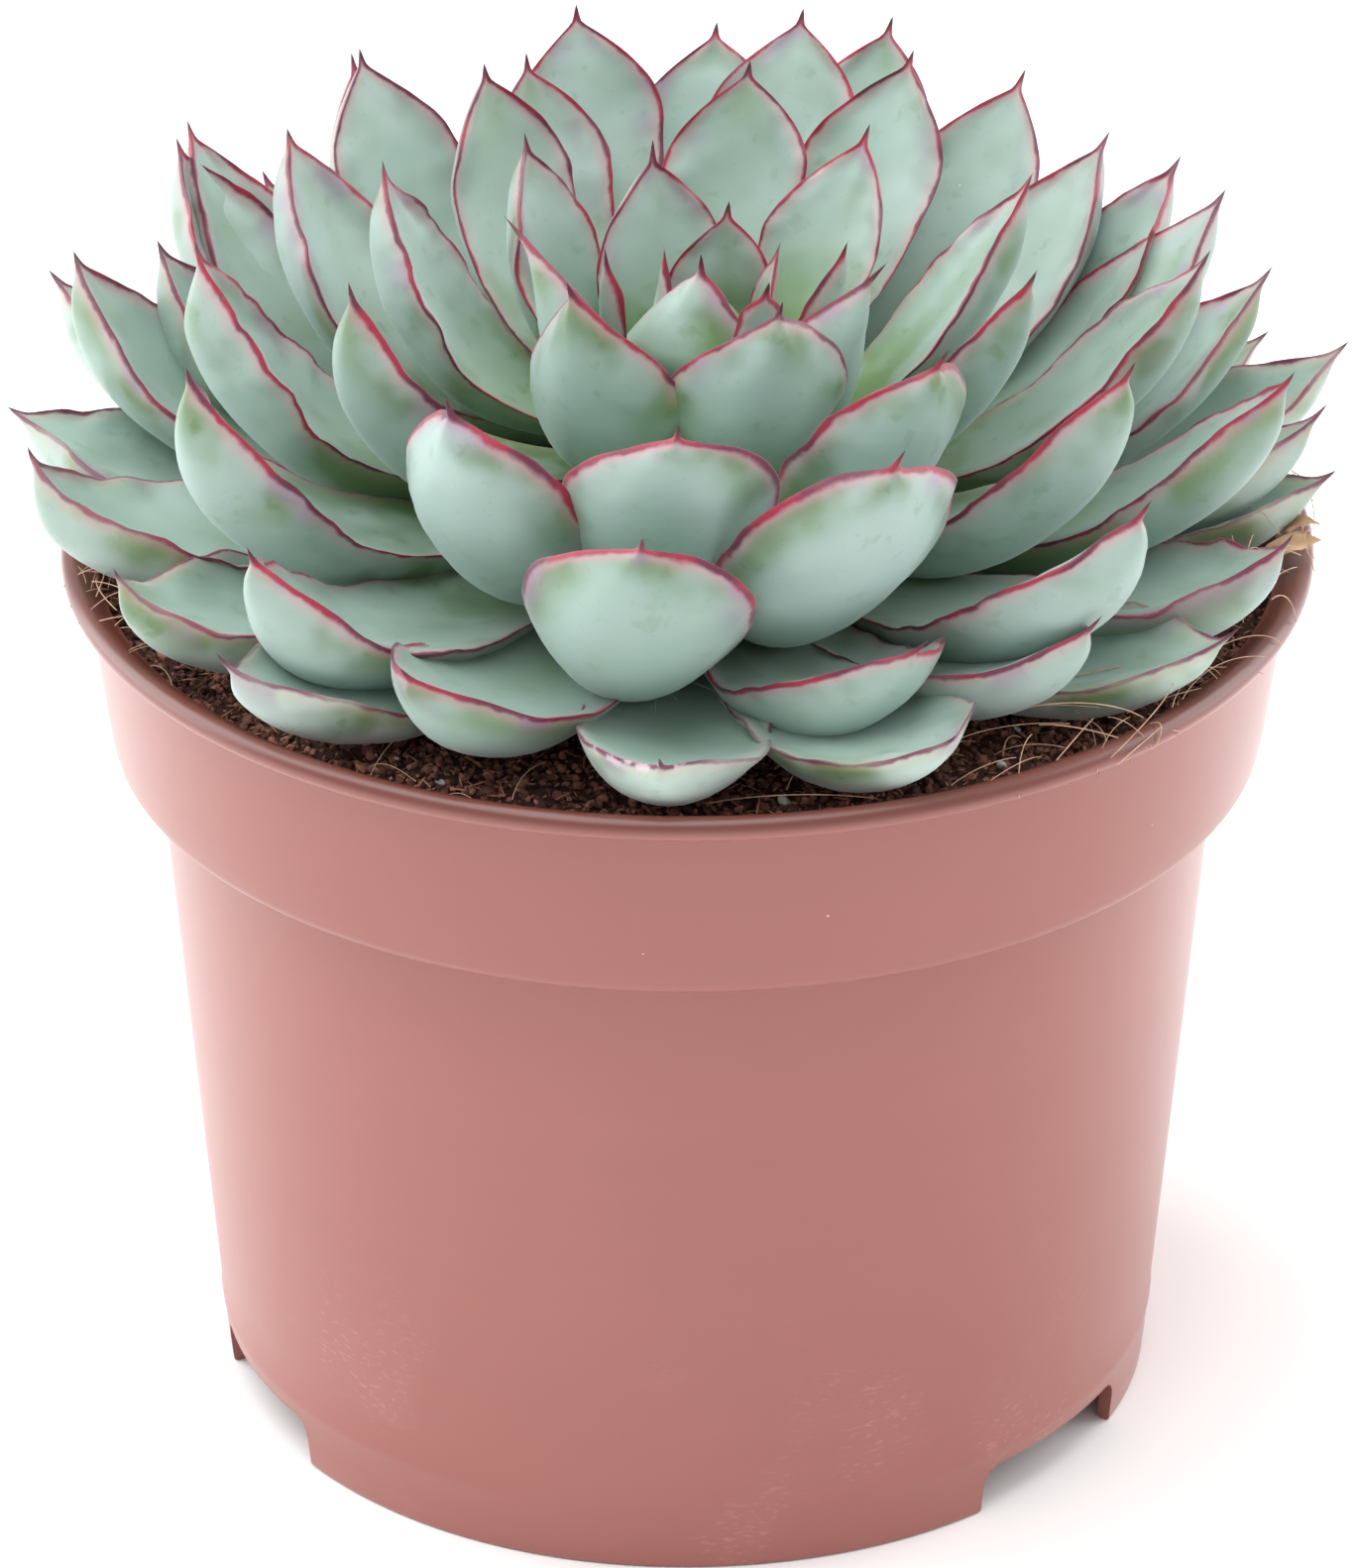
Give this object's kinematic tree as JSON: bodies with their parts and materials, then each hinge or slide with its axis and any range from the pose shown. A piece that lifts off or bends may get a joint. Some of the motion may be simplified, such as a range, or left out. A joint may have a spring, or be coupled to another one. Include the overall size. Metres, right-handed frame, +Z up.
{
  "type": "potted succulent",
  "caption": "Rosette succulent with fleshy blue-green, red-edged leaves on a short stem, growing in soil in a round thin-walled terracotta-coloured nursery pot.",
  "frame": {"origin": "centre of the pot's foot, on the surface it stands on", "axes": "+Z up; the side the picture shows faces -Y"},
  "size_m": [0.1289, 0.1212, 0.124],
  "materials": {
    "pot_plastic": "thin moulded terracotta-coloured plastic, satin gloss, with fine specks and scuffs",
    "soil": "loose dark brown coir and peat potting mix, matt",
    "stem": "smooth pale green living stem, matt",
    "leaf": "matt powdery blue-green bloom over smooth fleshy green, with dark red margins and tips"
  },
  "bodies": {
    "root": {"pot": "pot_plastic", "soil": "soil", "stem": "stem", "leaf_01": "leaf", "leaf_02": "leaf", "leaf_03": "leaf", "leaf_04": "leaf", "leaf_05": "leaf", "leaf_06": "leaf", "leaf_07": "leaf", "leaf_08": "leaf", "leaf_09": "leaf", "leaf_10": "leaf", "leaf_11": "leaf", "leaf_12": "leaf", "leaf_13": "leaf", "leaf_14": "leaf", "leaf_15": "leaf", "leaf_16": "leaf", "leaf_17": "leaf", "leaf_18": "leaf", "leaf_19": "leaf", "leaf_20": "leaf", "leaf_21": "leaf", "leaf_22": "leaf", "leaf_23": "leaf", "leaf_24": "leaf", "leaf_25": "leaf", "leaf_26": "leaf", "leaf_27": "leaf", "leaf_28": "leaf", "leaf_29": "leaf", "leaf_30": "leaf", "leaf_31": "leaf", "leaf_32": "leaf", "leaf_33": "leaf", "leaf_34": "leaf", "leaf_35": "leaf", "leaf_36": "leaf", "leaf_37": "leaf", "leaf_38": "leaf", "leaf_39": "leaf", "leaf_40": "leaf", "leaf_41": "leaf", "leaf_42": "leaf", "leaf_43": "leaf", "leaf_44": "leaf", "leaf_45": "leaf", "leaf_46": "leaf", "leaf_47": "leaf", "leaf_48": "leaf", "leaf_49": "leaf", "leaf_50": "leaf", "leaf_51": "leaf", "leaf_52": "leaf", "leaf_53": "leaf", "leaf_54": "leaf", "leaf_55": "leaf", "leaf_56": "leaf", "leaf_57": "leaf"}
  },
  "joints": []
}
